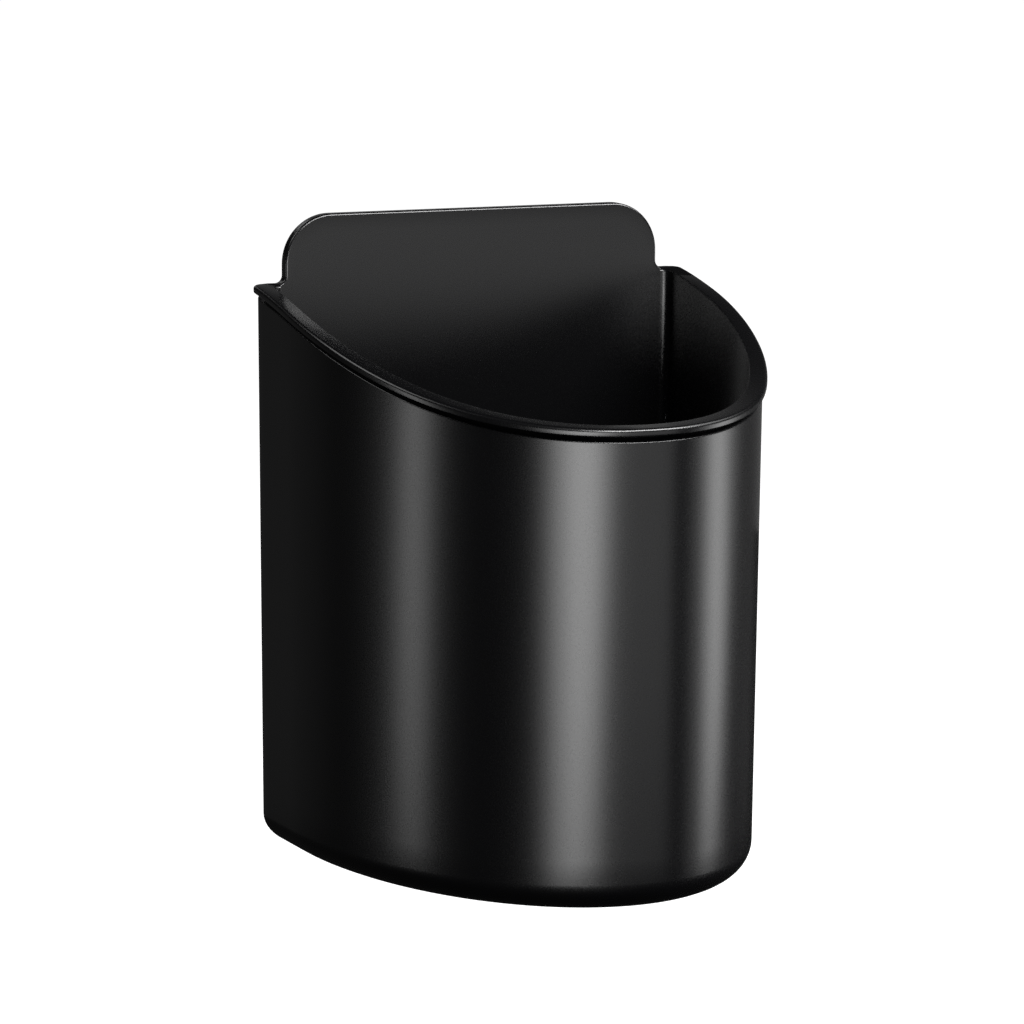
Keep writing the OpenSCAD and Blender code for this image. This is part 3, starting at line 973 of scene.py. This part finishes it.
class CUPHOLDER_OT_foot(bpy.types.Operator):
    """Turned pressure foot."""

    bl_idname = "cup_holder.foot"
    bl_label = "Pressure foot"

    def execute(self, context):
        low, high = FOOT_LOW, FOOT_HIGH
        edge = high.x
        recess = high.z - 2.8
        bore = PIN_R + 0.05
        profile = rounded([(bore + 0.3, low.z, 0.1), (edge - 3.2, low.z, 0.4),
                           (edge - 0.9, low.z + 2.3, 0.3), (edge - 0.9, low.z + 2.7, 0.15),
                           (edge, low.z + 3, 0.3), (edge, high.z, 0.5),
                           (6.9, high.z, 0.1), (6.5, high.z - 0.4, 0.1), (6.5, recess, 0.3),
                           (bore + 0.2, recess, 0.1), (bore, recess - 0.2, 0.05),
                           (bore, low.z + 0.3, 0.05)], 4)
        foot = turned("pressure_foot_turned", profile, steps=112)
        place(foot, "foot", "turned_steel", turned_steel, "pressure_foot")
        return {"FINISHED"}


KNOB_LOBES = 6
SCALLOP_R = 6.5
SCALLOP_AT = 22


def knob_radius(angle, largest):
    """Radius of the knob at an angle: a circle with scallops, blended where they meet."""
    pitch = 2 * math.pi / KNOB_LOBES
    off = (angle % pitch) - pitch / 2
    side = SCALLOP_AT * math.sin(off)
    blend = 0.9
    if abs(side) >= SCALLOP_R:
        return largest
    near = SCALLOP_AT * math.cos(off) - math.sqrt(SCALLOP_R ** 2 - side ** 2)
    share = max(blend - abs(largest - near), 0) / blend
    return min(largest, near) - share * share * blend / 4


class CUPHOLDER_OT_knob(bpy.types.Operator):
    """Lobed knob with its hub, pin and cap."""

    bl_idname = "cup_holder.knob"
    bl_label = "Knob"

    def execute(self, context):
        low, high = KNOB_LOW.z, KNOB_HIGH.z
        top_round = sizes().knob_round
        largest = 18
        rows = [("ring", 8.0, low + 2.0), ("ring", 7.0, low + 2.0), ("ring", 7.0, low + 0.3),
                ("ring", 7.3, low)]
        for k in range(7):
            angle = math.radians(15 * k)
            rows.append(("lobe", 1.4 * (1 - math.sin(angle)), low + 1.4 * (1 - math.cos(angle))))
        rows.append(("lobe", 0, (low + high) / 2))
        for k in range(10):
            angle = math.radians(10 * k)
            rows.append(("lobe", top_round * (1 - math.cos(angle)),
                         high - top_round * (1 - math.sin(angle))))
        rows += [("ring", 11.6, high), ("ring", 11.3, high - 0.15), ("ring", 11.1, high - 0.5),
                 ("ring", 10.6, high - 0.5), ("ring", 10.4, high - 0.15), ("ring", 10.1, high),
                 ("ring", 8.35, high), ("ring", 8.05, high - 0.25), ("ring", 8.0, high - 0.6)]
        bm = bmesh.new()
        loops = []
        steps = 288
        for kind, size, z in rows:
            loop = []
            for k in range(steps):
                angle = 2 * math.pi * k / steps
                radius = size if kind == "ring" else knob_radius(angle, largest) - size
                loop.append((radius * math.cos(angle), radius * math.sin(angle), z))
            loops.append(loop)
        skin(bm, loops)
        knob = mesh_object("knob_lobed", bm, 38)
        place(knob, "screw", "black_nylon", moulded_nylon, "knob")

        hub_low, hub_high = node_mm("knob_hub")
        r = hub_high.x
        profile = rounded([(0, hub_low.z, 0), (r, hub_low.z, 0.2), (r, hub_high.z, 0.7),
                           (SPINDLE_R + 0.6, hub_high.z, 0.1), (SPINDLE_R, hub_high.z - 0.6, 0.1),
                           (SPINDLE_R, SPINDLE_LOW.z, 0), (0, SPINDLE_LOW.z, 0)], 4)
        hub = turned("knob_hub_steel", profile)
        pin_low, pin_high = node_mm("knob_pin")
        pin_z = (pin_low.z + pin_high.z) / 2
        lay = Matrix.Translation((0, 0, pin_z)) @ Matrix.Rotation(math.pi / 2, 4, "Y")
        cut(hub, turned("pin_hole", drill(1.5, -12, 12), 38, 40, lay), 32)
        place(hub, "screw", "turned_steel", turned_steel, "knob_hub")

        half = pin_high.x
        profile = [(0.7, -half + 0.6), (0.7, -half), (1.2, -half), (1.5, -half + 0.4), (1.5, half - 0.4),
                   (1.2, half), (0.7, half), (0.7, half - 0.6), (0, half - 0.6), (0, -half + 0.6)]
        pin = turned("knob_pin_spring", profile, steps=40, lay=lay)
        place(pin, "screw", "spring_steel", spring_steel, "knob_pin")

        cap_low, cap_high = node_mm("knob_cap")
        r = cap_high.x
        profile = rounded([(0, cap_low.z + 0.5, 0), (4.6, cap_low.z + 0.5, 0.1), (4.9, cap_low.z, 0.15),
                           (r - 0.1, cap_low.z, 0.5), (r - 0.05, cap_high.z, 0.1), (0, cap_high.z, 0)], 4)
        cap = turned("knob_cap_push_in", profile, 38, 80)
        place(cap, "screw", "black_nylon", moulded_nylon, "knob_cap")
        return {"FINISHED"}


# ---------------------------------------------------------------- stage

CAMERA_AZIMUTH = math.radians(-24.0)
CAMERA_ELEVATION = math.radians(9.12)
CAMERA_DISTANCE = 1.016
CAMERA_ROLL = math.radians(0.31)
CAMERA_LENS = 175.8
CAMERA_SHIFT = 0.0145
CAMERA_TARGET = Vector((-0.0007, -0.0491, -0.0366))
STUDIO_CENTRE = Vector((0, -0.075, -0.05))
BACKDROP = (1, 1, 1, 1)
STUDIO_DIM = 0.012         # brightness of the dark studio round the object
FLOOR_Z = -140             # below the knob when the clamp is wide open
FLOOR_RADIUS = 12000


def direction(azimuth, elevation):
    """Unit vector towards a place round the object; azimuth 0 is in front of the nose."""
    return Vector((math.sin(azimuth) * math.cos(elevation), -math.cos(azimuth) * math.cos(elevation),
                   math.sin(elevation)))


def softbox(name, azimuth, elevation, distance, width, height, radiance, rise=0.0, lean=0.0, spread=180):
    """Area light that faces the object. radiance is its brightness as seen in a mirror."""
    data = bpy.data.lights.new(name, "AREA")
    data.shape = "RECTANGLE"
    data.size = width
    data.size_y = height
    data.spread = math.radians(spread)
    data.energy = radiance * math.pi * width * height
    lamp = bpy.data.objects.new(name, data)
    bpy.context.scene.collection.objects.link(lamp)
    way = direction(math.radians(azimuth), math.radians(elevation))
    lamp.location = STUDIO_CENTRE + way * distance + Vector((0, 0, rise))
    facing = way.to_track_quat("Z", "Y").to_matrix()
    lamp.rotation_euler = (facing @ Matrix.Rotation(math.radians(lean), 3, "Z")).to_euler()
    lamp.visible_camera = False
    return lamp


def strip(name, azimuth, distance, width, radiance, lean=0.0):
    """A softbox a little below the middle of the holder, for a long upright highlight."""
    return softbox(name, azimuth, -9, distance, width, 0.33, radiance, 0.055, lean)


def keep_dark(name, lamps, *shaded):
    """The lamps don't light the objects in shaded."""
    group = bpy.data.collections.new(name)
    for obj in shaded:
        group.objects.link(obj)
    for member in group.collection_objects:
        member.light_linking.link_state = "EXCLUDE"
    for lamp in lamps:
        lamp.light_linking.receiver_collection = group


def studio_floor():
    """Plain pale floor. It doesn't show in the object's gloss, as in a dark studio with a lit table."""
    bm = bmesh.new()
    rim = []
    for k in range(64):
        angle = 2 * math.pi * k / 64
        rim.append(bm.verts.new((FLOOR_RADIUS * math.cos(angle), FLOOR_RADIUS * math.sin(angle), FLOOR_Z)))
    bm.faces.new(rim)
    floor = mesh_object("studio_floor", bm)
    if floor.data.polygons[0].normal.z < 0:
        floor.data.flip_normals()
    material = bpy.data.materials.new("matt_white_table")
    material.use_nodes = True
    tree = material.node_tree
    tree.nodes.clear()
    paint = add_node(tree, "ShaderNodeBsdfDiffuse", {"Color": (0.3, 0.3, 0.3, 1)})
    glow = add_node(tree, "ShaderNodeEmission", {"Color": BACKDROP, "Strength": 1.0})
    lit = add_node(tree, "ShaderNodeAddShader", {0: paint.outputs[0], 1: glow.outputs[0]})
    clear = add_node(tree, "ShaderNodeBsdfTransparent")
    below = add_node(tree, "ShaderNodeNewGeometry").outputs["Backfacing"]
    both = add_node(tree, "ShaderNodeMixShader", {0: below, 1: lit.outputs[0], 2: clear.outputs[0]})
    add_node(tree, "ShaderNodeOutputMaterial", {"Surface": both.outputs[0]})
    floor.data.materials.append(material)
    floor.visible_glossy = False
    floor.visible_diffuse = False
    floor.visible_shadow = False
    return floor


def studio_world():
    """White behind the object, and a dim room in its gloss."""
    world = bpy.data.worlds.new("studio")
    bpy.context.scene.world = world
    world.use_nodes = True
    tree = world.node_tree
    tree.nodes.clear()
    seen = add_node(tree, "ShaderNodeLightPath").outputs["Is Camera Ray"]
    white = add_node(tree, "ShaderNodeBackground", {"Color": BACKDROP, "Strength": 1.0})
    dim = add_node(tree, "ShaderNodeBackground", {"Color": BACKDROP, "Strength": STUDIO_DIM})
    mix = add_node(tree, "ShaderNodeMixShader", {0: seen, 1: dim.outputs[0], 2: white.outputs[0]})
    add_node(tree, "ShaderNodeOutputWorld", {"Surface": mix.outputs[0]})


class CUPHOLDER_OT_stage(bpy.types.Operator):
    """Camera, pale floor and soft studio light."""

    bl_idname = "cup_holder.stage"
    bl_label = "Stage"

    def execute(self, context):
        scene = context.scene
        scene.view_settings.view_transform = "Standard"
        floor = studio_floor()
        studio_world()

        data = bpy.data.cameras.new("camera")
        data.sensor_width = 36
        data.lens = CAMERA_LENS
        data.shift_x = CAMERA_SHIFT
        data.clip_end = 50
        camera = bpy.data.objects.new("camera", data)
        scene.collection.objects.link(camera)
        back = direction(CAMERA_AZIMUTH, CAMERA_ELEVATION)
        aim = back.to_track_quat("Z", "Y").to_matrix().to_4x4()
        camera.matrix_world = (Matrix.Translation(CAMERA_TARGET + back * CAMERA_DISTANCE) @ aim @
                               Matrix.Rotation(CAMERA_ROLL, 4, "Z"))
        scene.camera = camera

        strips = [strip("strip_left", -102.3, 0.9, 0.15, 3.4, -16),
                  strip("fill_front", 20, 1.0, 0.75, 0.95),
                  strip("fill_right", 118, 1.0, 0.4, 0.08),
                  softbox("fill_rear_left", -163, -9, 1.0, 0.9, 0.4, 0.04, 0.05)]
        # Nested strips give a highlight a soft edge.
        for width, radiance in ((0.3, 3.6), (0.6, 3.7), (0.86, 1.1)):
            strips.append(strip("strip_front", -23, 0.9 + width / 20, width, radiance, 16))
        for width, radiance in ((0.2, 2.0), (0.4, 1.9), (0.8, 0.45)):
            strips.append(strip("strip_right", 79.5, 0.9 + width / 20, width, radiance, 16))
        softbox("key_high", 25, 46, 0.9, 0.95, 0.26, 26.0)
        softbox("side_high_left", -115, 42, 1.0, 0.5, 0.4, 3.0)
        softbox("side_high_right", 85, 42, 1.0, 0.5, 0.4, 2.5)
        strips += [softbox("rear_line", -174, 28, 1.1, 0.3, 0.1, 1.6),
                   softbox("mouth_glow", 156, 0, 0.05, 0.16, 0.09, 0.036, 0.05, 0, 60)]
        # Behind the holder, for the steel and rubber of the clamp
        rear = [softbox("clamp_left", -142, 6, 0.8, 0.3, 0.5, 2.6),
                softbox("clamp_below", 180, -30, 1.0, 0.7, 0.5, 1.5),
                softbox("clamp_right", 150, 30, 0.8, 0.4, 0.4, 2.6)]
        keep_dark("not_lit_by_strips", strips, floor)
        keep_dark("not_lit_from_behind", rear, floor, bpy.data.objects["cup_body_moulding"])
        return {"FINISHED"}


# ---------------------------------------------------------------- add-on

PIECES = (CUPHOLDER_OT_cup_body, CUPHOLDER_OT_floor_mat, CUPHOLDER_OT_clamp_bracket, CUPHOLDER_OT_pads,
          CUPHOLDER_OT_fasteners, CUPHOLDER_OT_bush, CUPHOLDER_OT_spindle, CUPHOLDER_OT_foot,
          CUPHOLDER_OT_knob, CUPHOLDER_OT_stage)


class CUPHOLDER_PT_panel(bpy.types.Panel):
    """Lists the pieces, sizes and colours."""

    bl_idname = "CUPHOLDER_PT_panel"
    bl_label = "Cup holder"
    bl_space_type = "VIEW_3D"
    bl_region_type = "UI"
    bl_category = "Cup Holder"

    def draw(self, context):
        layout = self.layout
        for piece in PIECES:
            layout.operator(piece.bl_idname)
        for group in (context.scene.cup_holder_sizes, context.scene.cup_holder_colours):
            box = layout.box()
            for name in group.__annotations__:
                box.prop(group, name)


CLASSES = (CupHolderSizes, CupHolderColours) + PIECES + (CUPHOLDER_PT_panel,)


def register():
    for item in CLASSES:
        bpy.utils.register_class(item)
    bpy.types.Scene.cup_holder_sizes = bpy.props.PointerProperty(type=CupHolderSizes)
    bpy.types.Scene.cup_holder_colours = bpy.props.PointerProperty(type=CupHolderColours)


def unregister():
    del bpy.types.Scene.cup_holder_colours
    del bpy.types.Scene.cup_holder_sizes
    for item in reversed(CLASSES):
        bpy.utils.unregister_class(item)


def main():
    register()
    for piece in PIECES:
        group, name = piece.bl_idname.split(".")
        getattr(getattr(bpy.ops, group), name)()


if __name__ == "__main__":
    main()
